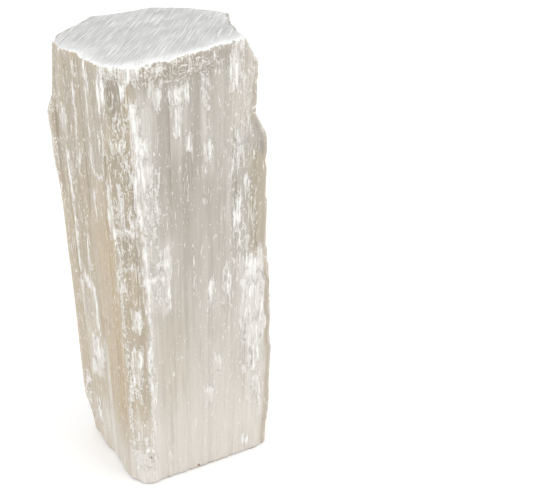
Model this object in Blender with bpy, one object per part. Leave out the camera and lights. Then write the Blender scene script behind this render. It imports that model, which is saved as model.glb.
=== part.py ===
"""A sawn length of fibrous selenite (satin spar), modelled as one faceted solid.

The crystal is a bundle of upright fibres. Its sides are the natural faces of the bundle, split
into long strips that stand a little proud of one another or behind, and that break off at jagged
ledges. Both ends are saw cuts: the lower one is level, and the block stands on it, and the upper
one is oblique. Metres, +Z up, origin at the middle of the base's bounding box.
"""

import math

import bmesh
import bpy
import numpy as np

MM = 0.001
NAME = "selenite_blade"
SEED = 11

# The upper saw cut: its height over the front left corner, its slope, and where it rises to.
CUT_HEIGHT = 198.8
CUT_TILT = math.radians(7.6)
CUT_RISES_TOWARD = math.radians(-24)

# The outline of the foot in millimetres, anticlockwise from above, with the broad front face along X
# at y = 0. The last two numbers are how far the corner has moved at the top of the right flank,
# which leans back.
OUTLINE = (
    (2.5, -0.8, 0.0, 0.0),  # front left ridge
    (20.0, -0.8, 0.0, 0.0),
    (38.5, -0.8, -2.0, 0.4),  # front right ridge
    (52.5, -0.6, -8.0, 2.0),
    (59.6, 0.9, -12.2, 1.0),
    (62.2, 6.5, -13.4, 0.2),
    (60.6, 18.0, -17.2, -2.0),
    (58.5, 32.0, -9.8, -2.2),
    (53.0, 40.0, -6.8, -3.0),
    (43.0, 51.0, -4.0, -1.5),
    (30.0, 61.0, -1.6, -1.0),
    (14.0, 64.2, -0.8, -0.7),
    (5.7, 65.6, 0.0, 0.0),  # back
    (-4.4, 55.8, 0.0, 0.0),
    (-12.0, 49.6, 0.0, 0.0),
    (-16.8, 43.5, 0.0, 0.0),  # left edge
    (-13.2, 33.0, 0.0, 0.0),
    (-10.2, 25.0, 0.0, 0.0),  # ridge between the two left facets
    (-9.0, 15.0, 0.0, 0.0),
    (-7.0, 5.2, 0.0, 0.0),  # left side of the narrow bevelled face
    (-2.6, 1.0, 0.0, 0.0),
)

# Strips: their widths, the step between two of them, and the heights around which they break off.
STRIP_WIDTHS = (2.4, 6.4)
STRIP_GAP = 0.5
STRIP_STEPS = (0.1, 0.5)
MOST_RELIEF = 0.8
LEDGE_HEIGHTS = (16.0, 36.0, 60.0, 83.0, 101.0, 118.0, 136.0, 152.0, 168.0, 184.0)
LEDGE_DROP = 1.2
LEDGE_DROP_PER_STEP = 1.6
LEDGE_JITTER = 4.5
LEDGE_CHANCE = 0.34

# The share of the right flank's lean in each stretch between two ledges, from the foot up.
FLANK_LEAN = (0.06, 0.0, 0.05, 0.13, 0.23, 0.37, 0.46, 0.53, 0.6, 0.98, 0.99)

# Rims: how far the edges of both cuts are broken back, and how deep.
TOP_RIM = (0.3, 1.1)
BASE_RIM = (0.2, 0.7)

# The right corner of the upper cut is broken off along a steep face. Its top edge runs back at one X
# and then spreads outward, and the face slopes outward below it. Relief dies out over a short depth
# behind the face.
BREAK_X = 41.6
BREAK_TOP = 203.4
BREAK_SPREADS_FROM = 9.0
BREAK_SPREAD = 0.36
BREAK_SLOPE = 0.62
BREAK_FADE = 1.5

# How much of the outline the outward direction is averaged over, for strips and for lumps.
STRIP_REACH = 1.5
LUMP_REACH = 9.0

# Broad lumps and scars: a point of the outline, height, half width, half height, and how proud.
LUMPS = (
    ((19.0, 0.0), 200.0, 14.0, 9.0, 2.0),  # lip under the front of the upper cut
    ((14.0, 0.0), 187.0, 17.0, 7.0, -0.8),  # rough hollow under the lip
    ((18.0, 63.5), 204.0, 12.0, 34.0, -1.3),
    ((61.0, 3.0), 160.0, 6.0, 6.0, 0.6),  # round shoulder of the right flank
    ((-16.8, 43.5), 208.0, 10.0, 40.0, -3.0),  # left edge drawn in to the upper cut
    ((-16.8, 43.5), 154.0, 3.4, 17.0, 1.0),  # foot of the knob on the left edge
    ((-16.8, 43.5), 169.5, 3.0, 5.5, 0.9),  # the knob
    ((-16.8, 43.5), 0.0, 15.0, 26.0, -3.0),  # left edge broken at the foot
    ((-5.0, 3.0), 187.0, 3.8, 9.0, -1.8),  # scoop at the head of the bevelled face
    ((-6.0, 4.0), 165.0, 4.0, 7.0, -0.9),
    ((-4.0, 2.0), 128.0, 5.0, 10.0, -0.9),
    ((0.0, 0.0), 68.0, 5.0, 34.0, -0.8),
    ((0.0, 0.0), 0.0, 5.0, 10.0, 1.2),  # foot of the front left ridge
    ((61.5, 12.0), 0.0, 12.0, 26.0, -1.6),  # right flank broken at the foot
    ((43.0, 51.0), 150.0, 22.0, 44.0, 1.3),
    ((22.0, 62.5), 45.0, 18.0, 40.0, -1.5),
    ((59.0, 27.0), 92.0, 12.0, 34.0, -1.2),
    ((5.7, 65.6), 100.0, 12.0, 36.0, 1.0),
)

# Strips that are stood proud or set back on purpose: from one point of the outline to another,
# from one height to another, and how proud.
BANDS = (
    ((2.5, 0.0), (10.5, 0.0), 101.0, 184.0, 0.6),  # pale band beside the front left ridge
    ((14.0, 0.0), (20.0, 0.0), 152.0, 190.0, 0.5),
    ((26.0, 0.0), (31.0, 0.0), 152.0, 168.0, 0.5),
    ((41.0, 0.0), (45.0, 0.0), 118.0, 152.0, 0.5),
    ((44.0, 0.0), (54.0, 0.0), 36.0, 118.0, 0.7),
    ((28.0, 0.0), (33.0, 0.0), 83.0, 118.0, -0.4),
    ((-14.8, 46.0), (-15.4, 40.0), 136.0, 168.0, 0.8),  # knob on the left edge
    ((-16.8, 43.5), (-14.0, 38.0), 36.0, 136.0, 0.4),
    ((-10.0, 24.0), (-9.2, 17.0), 0.0, 83.0, -0.7),
    ((-9.0, 15.0), (-7.4, 7.0), 136.0, 184.0, 0.6),
)


def outline_corners(shares):
    """Outline corners for each share of the flank's lean: an array of shares, corners, (x, y)."""
    base = np.array(OUTLINE)
    return base[:, :2] + np.asarray(shares)[..., None, None] * base[:, 2:]


def corner_distances():
    """Distance of each corner along the outline of the foot, ending with the whole way round."""
    points = np.array(OUTLINE)[:, :2]
    edges = np.linalg.norm(np.roll(points, -1, axis=0) - points, axis=1)
    return np.concatenate([[0.0], np.cumsum(edges)])


def distance_of(point):
    """Distance along the outline of the foot at which it passes nearest to a point."""
    start = np.array(OUTLINE)[:, :2]
    edge = np.roll(start, -1, axis=0) - start
    share = np.clip(((point - start) * edge).sum(axis=1) / (edge**2).sum(axis=1), 0, 1)
    nearest = np.linalg.norm(start + share[:, None] * edge - point, axis=1).argmin()
    return corner_distances()[nearest] + share[nearest] * np.linalg.norm(edge[nearest])


def strip_edges(rng, distances):
    """Outline distances between which the strips lie. Every corner is the edge of a strip."""
    edges = [0.0]
    for start, end in zip(distances, distances[1:]):
        count = max(1, round((end - start) / rng.uniform(*STRIP_WIDTHS)))
        shares = np.arange(1, count) + rng.uniform(-0.3, 0.3, count - 1)
        edges += [start + (end - start) * share / count for share in shares]
        edges.append(end)
    return np.array(edges)


def strip_relief(rng, edges):
    """How proud each strip stands in each stretch between two ledges: strips x stretches."""
    strips = len(edges) - 1
    relief = np.zeros((strips, len(LEDGE_HEIGHTS) + 1))
    relief[:, -1] = rng.uniform(-0.4, 0.4, strips)
    for stretch in range(len(LEDGE_HEIGHTS) - 1, -1, -1):
        breaks = rng.random(strips) < LEDGE_CHANCE
        step = rng.uniform(*STRIP_STEPS, strips) * rng.choice([-1, 1], strips)
        relief[:, stretch] = relief[:, stretch + 1] + np.where(breaks, step, 0.0)
    relief = np.clip(relief, -MOST_RELIEF, MOST_RELIEF)
    middles = (edges[1:] + edges[:-1]) / 2
    bounds = np.concatenate([[0.0], LEDGE_HEIGHTS, [CUT_HEIGHT]])
    levels = (bounds[1:] + bounds[:-1]) / 2
    for first, last, low, high, proud in BANDS:
        inside = (middles > distance_of(first)) & (middles < distance_of(last))
        relief[np.ix_(inside, (levels > low) & (levels < high))] += proud
    return relief


def columns_of(edges):
    """Outline distance and strip of each column of points, two or three to a strip."""
    places, strips = [], []
    for strip, (start, end) in enumerate(zip(edges, edges[1:])):
        inner = [start + STRIP_GAP / 2, end - STRIP_GAP / 2]
        if end - start > 1.4 * STRIP_WIDTHS[0]:
            inner.insert(1, (start + end) / 2)
        places += inner
        strips += [strip] * len(inner)
    return np.array(places), np.array(strips)


def row_heights(rng, strips, strip_middles):
    """Heights of the rows (rows x columns) and the stretch that each row is in.

    A ledge is lower on one strip than on the next. Where the flank also steps back there, the
    ledge is a slope.
    """
    jitter = rng.uniform(-LEDGE_JITTER, LEDGE_JITTER, (len(LEDGE_HEIGHTS), len(strip_middles)))
    corner_moves = np.linalg.norm(np.array(OUTLINE)[:, 2:], axis=1)
    moves = np.interp(strip_middles, corner_distances(), np.append(corner_moves, corner_moves[0]))
    rows, stretches = [np.full(len(strips), BASE_RIM[1])], [0]
    previous = rows[0]
    for stretch, height in enumerate(LEDGE_HEIGHTS):
        ledge = (height + jitter[stretch])[strips]
        step_back = moves * abs(FLANK_LEAN[stretch + 1] - FLANK_LEAN[stretch])
        drop = (LEDGE_DROP + LEDGE_DROP_PER_STEP * step_back)[strips]
        rows += [(previous + ledge) / 2, ledge - drop / 2, ledge + drop / 2]
        stretches += [stretch, stretch, stretch + 1]
        previous = ledge
    return np.array(rows), np.array(stretches)


def cut_height(x, y):
    """Height of the upper saw cut over a point."""
    slope = math.tan(CUT_TILT)
    from_corner = (x - OUTLINE[0][0]) * math.cos(CUT_RISES_TOWARD)
    from_corner = from_corner + (y - OUTLINE[0][1]) * math.sin(CUT_RISES_TOWARD)
    return CUT_HEIGHT + slope * from_corner


def lump_relief(places, heights):
    """Sum of the broad lumps and scars, each one a smooth hill of its own size."""
    around = corner_distances()[-1]
    total = np.zeros(np.broadcast(places, heights).shape)
    for point, height, half_width, half_height, proud in LUMPS:
        along = (places - distance_of(point) + around / 2) % around - around / 2
        radius = np.hypot(along / half_width, (heights - height) / half_height)
        total += proud * np.clip(1 - radius**2, 0, None) ** 1.3
    return total


def break_limit(y, heights):
    """How far along X the face of the broken corner lies."""
    spread = BREAK_SPREAD * np.clip(y - BREAK_SPREADS_FROM, 0, None)
    return BREAK_X + spread + BREAK_SLOPE * (BREAK_TOP - heights)


def unbroken(smooth, heights):
    """Share of the relief that is left beside the broken corner: none behind its face."""
    beyond = smooth[..., 0] - break_limit(smooth[..., 1], heights)
    return np.clip(1 - beyond / BREAK_FADE, 0, 1)[..., None]


def rim_depths(rng, kept):
    """How far each column's edge of the upper cut is broken back, even where no relief is kept."""
    middle = sum(TOP_RIM) / 2
    return middle + kept * (rng.uniform(*TOP_RIM, len(kept)) - middle)


def outline_points(places, stretches):
    """Points and outward normals on the outline without relief: rows x columns x (x, y)."""
    distances = corner_distances()
    edge = np.searchsorted(distances, places, side="right") - 1
    share = (places - distances[edge]) / (distances[edge + 1] - distances[edge])
    corners = outline_corners(np.array(FLANK_LEAN)[stretches])
    start = corners[:, edge]
    end = corners[:, (edge + 1) % len(OUTLINE)]
    along = (end - start) / np.linalg.norm(end - start, axis=-1, keepdims=True)
    normals = np.stack([along[..., 1], -along[..., 0]], axis=-1)
    return start + (end - start) * share[None, :, None], normals


def rounded(normals, places, reach):
    """Normals averaged over a stretch of the outline, so that relief doesn't cross itself at corners."""
    around = corner_distances()[-1]
    apart = (places[:, None] - places[None, :] + around / 2) % around - around / 2
    share = (np.roll(places, -1) - np.roll(places, 1)) % around
    weights = np.exp(-((apart / reach) ** 2)) * share
    total = np.einsum("ij,rjk->rik", weights, normals)
    return total / np.linalg.norm(total, axis=-1, keepdims=True)


def wall_points():
    """Points of the wall, foot to top: rows x columns x (x, y, z), in millimetres."""
    rng = np.random.default_rng(SEED)
    edges = strip_edges(rng, corner_distances())
    relief = strip_relief(rng, edges)
    places, strips = columns_of(edges)
    heights, stretches = row_heights(rng, strips, (edges[1:] + edges[:-1]) / 2)
    smooth, normals = outline_points(places, stretches)
    broad_normals = rounded(normals, places, LUMP_REACH)
    normals = rounded(normals, places, STRIP_REACH)
    wall = smooth + broad_normals * lump_relief(places[None, :], heights)[..., None]
    kept = unbroken(wall, heights)
    wall = wall + kept * normals * relief[strips[None, :], stretches[:, None], None]
    wall = np.dstack([wall, heights])

    foot = wall[:1].copy()
    foot[..., :2] -= normals[:1] * rng.uniform(*BASE_RIM, len(places))[:, None]
    foot[..., 2] = 0.0

    normals = normals[-1:]
    rim = wall[-1:].copy()
    rim_lumps = lump_relief(places, np.full(len(places), CUT_HEIGHT))
    rim[..., :2] = smooth[-1:] + broad_normals[-1:] * rim_lumps[:, None]
    kept = unbroken(rim, np.full(len(places), BREAK_TOP))
    rim[..., :2] += kept * normals * relief[strips, -1][:, None]
    rim[..., 2] = cut_height(rim[..., 0], rim[..., 1])
    rim[..., 2] -= rim_depths(rng, kept[0, :, 0])
    middle = (wall[-1:] + rim) / 2
    middle[..., :2] += kept * normals * rng.uniform(-0.5, 0.3, len(places))[:, None]
    top = rim.copy()
    top[..., :2] -= normals * rim_depths(rng, kept[0, :, 0])[:, None]
    points = np.concatenate([foot, wall, middle, rim, top])
    points[..., 0] = np.minimum(points[..., 0], break_limit(points[..., 1], points[..., 2]))
    points[-1, :, 2] = cut_height(points[-1, :, 0], points[-1, :, 1])
    return points


def solid_mesh(name):
    """The wall and its two flat cuts as one closed mesh, centred over the origin."""
    wall = wall_points()
    rows, columns = wall.shape[:2]
    points = wall.reshape(-1, 3)
    points[:, :2] -= (points[:, :2].min(axis=0) + points[:, :2].max(axis=0)) / 2
    shape = bmesh.new()
    verts = [shape.verts.new(point) for point in points * MM]
    for row in range(rows - 1):
        for column in range(columns):
            after = (column + 1) % columns
            low, high = row * columns, (row + 1) * columns
            corners = (low + column, low + after, high + after, high + column)
            shape.faces.new([verts[corner] for corner in corners])
    shape.faces.new(reversed(verts[:columns]))
    shape.faces.new(verts[-columns:])
    bmesh.ops.triangulate(shape, faces=shape.faces, quad_method="SHORT_EDGE")
    mesh = bpy.data.meshes.new(name)
    shape.to_mesh(mesh)
    shape.free()
    return mesh


def satin_spar():
    """Pale, silky and a little warm."""
    material = bpy.data.materials.new("satin_spar")
    material.use_nodes = True
    shader = material.node_tree.nodes["Principled BSDF"]
    shader.inputs["Base Color"].default_value = (0.72, 0.67, 0.60, 1.0)
    shader.inputs["Roughness"].default_value = 0.42
    shader.inputs["Metallic"].default_value = 0.0
    return material


def main():
    """Clears the scene and builds the crystal in a collection of its own."""
    for thing in list(bpy.data.objects):
        bpy.data.objects.remove(thing, do_unlink=True)
    parts = bpy.data.collections.new("selenite_crystal_blade")
    bpy.context.scene.collection.children.link(parts)
    mesh = solid_mesh(NAME)
    mesh.materials.append(satin_spar())
    parts.objects.link(bpy.data.objects.new(NAME, mesh))


main()
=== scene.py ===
"""Fine surface and finishes of a sawn length of fibrous selenite (satin spar), over its solid.

Lengths in the dataclasses are millimetres unless a name ends in _m. The crystal's own frame has
its broad front face along X at y = 0 and its front left ridge near the origin. Its mesh is in
metres, in the row frame.
"""

from __future__ import annotations

import logging
import math
from collections.abc import Callable
from dataclasses import dataclass, field
from enum import Enum
from typing import Any, ClassVar

import bpy
import numpy as np
from mathutils import Matrix


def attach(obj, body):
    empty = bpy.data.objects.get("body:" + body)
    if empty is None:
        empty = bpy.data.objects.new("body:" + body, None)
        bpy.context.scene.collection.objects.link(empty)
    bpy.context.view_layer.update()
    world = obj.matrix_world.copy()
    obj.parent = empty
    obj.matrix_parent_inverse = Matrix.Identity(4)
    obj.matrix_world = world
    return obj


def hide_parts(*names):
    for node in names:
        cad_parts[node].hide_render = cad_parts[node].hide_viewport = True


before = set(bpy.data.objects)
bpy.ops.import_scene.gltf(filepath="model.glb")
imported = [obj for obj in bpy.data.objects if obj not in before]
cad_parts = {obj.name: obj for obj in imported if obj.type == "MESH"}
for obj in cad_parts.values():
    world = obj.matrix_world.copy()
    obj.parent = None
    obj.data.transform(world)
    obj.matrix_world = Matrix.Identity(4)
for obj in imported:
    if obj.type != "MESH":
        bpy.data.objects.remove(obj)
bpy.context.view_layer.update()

MM = 0.001
SHARP_FROM_DEG = 38.0
LOG = logging.getLogger("selenite")

Array = np.ndarray
Socket = bpy.types.NodeSocket
Triple = tuple[float, float, float]
Rgb = Triple
Rows = tuple[tuple[float, ...], ...]


class Surface(Enum):
    """What a patch of the side is like. The value names the mesh attribute that holds it."""

    TORN = "torn"
    MILKY = "milky"
    DUSKY = "dusky"
    WARM = "warm"
    BUSY = "busy"
    ROUGH = "rough"
    GLASSY = "glassy"
    STAINED = "stained"


class Mask(Enum):
    """The other mesh attributes that the finishes read."""

    BRUISE = "bruise"
    FOOT = "foot"
    PALE = "pale"


class Part(Enum):
    """Material slots of the crystal's mesh."""

    SIDE = 0
    CUT = 1


class Wander(Enum):
    """Noises over the crystal: lattice cell round the outline, cell up, and seed."""

    SIDEWAYS = (3.0, 9.0, 31)
    UPWARD = (1.2, 60.0, 32)
    RIM = (1.6, 50.0, 41)
    RIPPLE = (1.3, 5.0, 51)
    SWELL = (9.0, 34.0, 52)
    GRIT = (1.5, 1.8, 53)
    FLAKE = (1.0, 4.5, 54)
    FOOT = (2.2, 50.0, 55)
    CRUMBLED = (2.6, 3.0, 56)
    BRUISED = (2.2, 50.0, 61)
    PALE = (12.0, 40.0, 62)
    WORN = (2.0, 50.0, 63)


# Arrays


def eased(share: Array) -> Array:
    """3t^2 - 2t^3."""
    return share * share * (3.0 - 2.0 * share)


def rise(value: Array, low: float | Array, high: float | Array) -> Array:
    """Smooth step: 0 below low, 1 above high, and 3t^2 - 2t^3 between them."""
    return eased(np.clip((value - low) / (high - low), 0.0, 1.0))


def ramp(value: Array, middle: Array, width: Array) -> Array:
    """Straight step from 0 to 1, width wide and centred on middle."""
    return np.clip((value - middle) / width + 0.5, 0.0, 1.0)


def ring_weights(along: Array, around: float, reach: float) -> Array:
    """Weight of every point of a closed ring in the mean round every other one.

    Args:
        along: Distance of each point along the ring.
        around: The whole way round.
        reach: How far the mean reaches.

    Returns:
        exp(-(distance / reach)^2) times the stretch a point stands for, summing to 1 in each row.
    """
    apart = (along[:, None] - along[None, :] + around / 2) % around - around / 2
    share = (np.roll(along, -1) - np.roll(along, 1)) % around
    weights = np.exp(-((apart / reach) ** 2)) * share
    return weights / weights.sum(axis=1, keepdims=True)


def evened(ring: Array, reach: float) -> Array:
    """A closed ring of points, n x (x, y), each averaged with those within about reach."""
    steps = np.linalg.norm(np.roll(ring, -1, axis=0) - ring, axis=1)
    along = np.concatenate([[0.0], np.cumsum(steps)[:-1]])
    return ring_weights(along, steps.sum(), reach) @ ring


# The crystal's shape


@dataclass(frozen=True)
class SawCut:
    """The oblique upper cut: a plane through a point over the front left ridge."""

    height: float = 198.8
    tilt_deg: float = 7.6
    rises_toward_deg: float = -24.0
    over: tuple[float, float] = (2.5, -0.8)

    def at(self, x: Array, y: Array) -> Array:
        """Height of the plane: height + tan(tilt) times the distance from `over` as it rises."""
        toward = math.radians(self.rises_toward_deg)
        away = (x - self.over[0]) * math.cos(toward) + (y - self.over[1]) * math.sin(toward)
        return self.height + math.tan(math.radians(self.tilt_deg)) * away


@dataclass(frozen=True)
class Outline:
    """The outline of the foot, anticlockwise from above, and how the right flank leans back.

    A corner is (x, y, dx, dy), where dx and dy are how far it has moved at the top of the flank.
    Noise over it starts `noise_below` under the foot and is `noise_height` high.
    """

    corners: Rows = (
        (2.5, -0.8, 0, 0), (20, -0.8, 0, 0), (38.5, -0.8, -2, 0.4), (52.5, -0.6, -8, 2),
        (59.6, 0.9, -12.2, 1), (62.2, 6.5, -13.4, 0.2), (60.6, 18, -17.2, -2),
        (58.5, 32, -9.8, -2.2), (53, 40, -6.8, -3), (43, 51, -4, -1.5), (30, 61, -1.6, -1),
        (14, 64.2, -0.8, -0.7), (5.7, 65.6, 0, 0), (-4.4, 55.8, 0, 0), (-12, 49.6, 0, 0),
        (-16.8, 43.5, 0, 0), (-13.2, 33, 0, 0), (-10.2, 25, 0, 0), (-9, 15, 0, 0), (-7, 5.2, 0, 0),
        (-2.6, 1, 0, 0),
    )
    noise_below: float = 20.0
    noise_height: float = 260.0

    def foot(self) -> Array:
        """The corners' places at the foot."""
        return np.array(self.corners)[:, :2]

    def moves(self) -> Array:
        """How far each corner has moved at the top of the flank."""
        return np.array(self.corners)[:, 2:]

    def distances(self) -> Array:
        """Distance of each corner along the outline, ending with the whole way round."""
        edges = np.linalg.norm(np.roll(self.foot(), -1, axis=0) - self.foot(), axis=1)
        return np.concatenate([[0.0], np.cumsum(edges)])

    def around(self) -> float:
        """The whole way round."""
        return float(self.distances()[-1])

    def distance_of(self, point: tuple[float, float]) -> float:
        """Distance along the outline at which it passes nearest to a point."""
        start = self.foot()
        edge = np.roll(start, -1, axis=0) - start
        share = np.clip(((np.array(point) - start) * edge).sum(1) / (edge**2).sum(1), 0, 1)
        nearest = np.linalg.norm(start + share[:, None] * edge - point, axis=1).argmin()
        return float(self.distances()[nearest] + share[nearest] * np.linalg.norm(edge[nearest]))

    def apart(self, along: Array, middle: float) -> Array:
        """Signed outline distance from a middle, the short way round."""
        around = self.around()
        return (along - middle + around / 2) % around - around / 2

    def near(self, along: Array, middle: float, half: float, power: int) -> Array:
        """1 at a middle, falling to either side: exp(-(outline distance / half)^power)."""
        return np.exp(-((self.apart(along, middle) / half) ** power))

    def noise(self, kind: Wander, along: Array, up: Array | None = None) -> Array:
        """Smooth noise on a lattice that closes on itself round the outline.

        Every lattice point holds a random number from -1 to 1, and a place between four of them
        takes their mean, weighted by 3t^2 - 2t^3 of its share of the cell each way.

        Args:
            kind: Which noise.
            along: Outline distance.
            up: Height, which broadcasts with it, or 0 where it isn't given.

        Returns:
            Noise from -1 to 1.
        """
        cell_along, cell_up, seed = kind.value
        columns = max(3, round(self.around() / cell_along))
        rows = math.ceil(self.noise_height / cell_up) + 3
        values = np.random.default_rng(seed).uniform(-1.0, 1.0, (rows, columns))
        height = np.zeros(1) if up is None else up
        x, y = np.broadcast_arrays(
            along / self.around() * columns,
            np.clip(height + self.noise_below, 0.0, None) / cell_up,
        )
        i, j = np.floor(x).astype(int), np.floor(y).astype(int)
        u, v = eased(x - i), eased(y - j)
        left, right = i % columns, (i + 1) % columns
        low, high = np.clip(j, 0, rows - 1), np.clip(j + 1, 0, rows - 1)
        lower = values[low, left] * (1 - u) + values[low, right] * u
        upper = values[high, left] * (1 - u) + values[high, right] * u
        return lower * (1 - v) + upper * v

    def place(self, along: Array, lean: Array) -> tuple[Array, Array]:
        """Points of the leaning outline: start + (end - start) times the share of the edge passed.

        Args:
            along: Outline distance of each column.
            lean: Share of the flank's lean, rows x columns.

        Returns:
            Points and outward unit normals, both rows x columns x (x, y).
        """
        distances = self.distances()
        last = len(self.corners) - 1
        edge = np.clip(np.searchsorted(distances, along, side="right") - 1, 0, last)
        share = (along - distances[edge]) / (distances[edge + 1] - distances[edge])
        after = (edge + 1) % len(self.corners)
        start = self.foot()[edge] + lean[..., None] * self.moves()[edge]
        run = self.foot()[after] + lean[..., None] * self.moves()[after] - start
        unit = run / np.linalg.norm(run, axis=-1, keepdims=True)
        return start + run * share[:, None], np.stack([unit[..., 1], -unit[..., 0]], axis=-1)

    def rounded(self, normals: Array, along: Array, reach: float) -> Array:
        """Normals averaged over a stretch of the outline, so that they turn gently at its corners.

        Args:
            normals: Unit normals, rows x columns x (x, y).
            along: Outline distance of each column.
            reach: How far the mean reaches.

        Returns:
            Unit normals of the same shape.
        """
        weights = ring_weights(along, self.around(), reach)
        total = np.einsum("ij,rjk->rik", weights, normals)
        return total / np.linalg.norm(total, axis=-1, keepdims=True)


@dataclass(frozen=True)
class Band:
    """A strip that stands proud or set back, between two points of the outline and two heights."""

    first: tuple[float, float]
    last: tuple[float, float]
    low: float
    high: float
    proud: float


@dataclass(frozen=True)
class Lump:
    """A broad smooth hill or scar at a point of the outline: proud times (1 - r^2)^1.3."""

    point: tuple[float, float]
    height: float
    half_width: float
    half_height: float
    proud: float
    power: float = 1.3


@dataclass(frozen=True)
class Chip:
    """A larger chip in the edge of the upper cut: its depth is depth times (1 - r^2)."""

    point: tuple[float, float]
    half_width: float
    depth: float


@dataclass(frozen=True)
class BrokenCorner:
    """The steep face along which the right corner of the upper cut broke off.

    Its top edge runs back at one X and then spreads outward. The face slopes outward below it.
    Relief dies out over a short depth behind the face, whose edge is crumbled near the top.
    """

    start: float = 41.6
    top: float = 203.4
    spreads_from: float = 9.0
    spread: float = 0.36
    slope: float = 0.62
    fade: float = 1.5
    crumb: float = 0.35

    def limit(self, y: Array, z: Array) -> Array:
        """How far along X the face lies: start + spread x (y past a point) + slope x depth."""
        spread = self.spread * np.clip(y - self.spreads_from, 0, None)
        return self.start + spread + self.slope * (self.top - z)

    def kept(self, points: Array, z: Array) -> Array:
        """Share of the relief that is left: 1 in front of the face, 0 behind it.

        Args:
            points: Points in plan, ... x (x, y).
            z: Their heights.

        Returns:
            The share.
        """
        return np.clip(1 - (points[..., 0] - self.limit(points[..., 1], z)) / self.fade, 0, 1)


@dataclass(frozen=True)
class Patch:
    """A patch of the side that differs from the rest.

    It lies between two outline distances and two heights. Its edge is ragged, and more so up and
    down, because the crystal splits along its fibres. It fades over `soft` to either side of its
    edge, and over `tall` times that above and below.
    """

    first: float
    last: float
    low: float
    high: float
    strength: float
    ragged: float = 1.0
    soft: float = 0.7
    tall: float = 3.0

    def window(self, apart: Array, height: Array) -> Array:
        """The patch's strength times a smooth step in from each of its four edges.

        Args:
            apart: Outline distance from the patch's middle.
            height: Height.

        Returns:
            From 0 to the strength.
        """
        half = (self.last - self.first) / 2
        fade = min(self.tall * self.soft, (self.high - self.low) / 3)
        inside = rise(half - np.abs(apart), -self.soft, self.soft)
        above = rise(height, self.low - fade, self.low + fade)
        below = 1 - rise(height, self.high - fade, self.high + fade)
        return self.strength * inside * above * below


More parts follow.
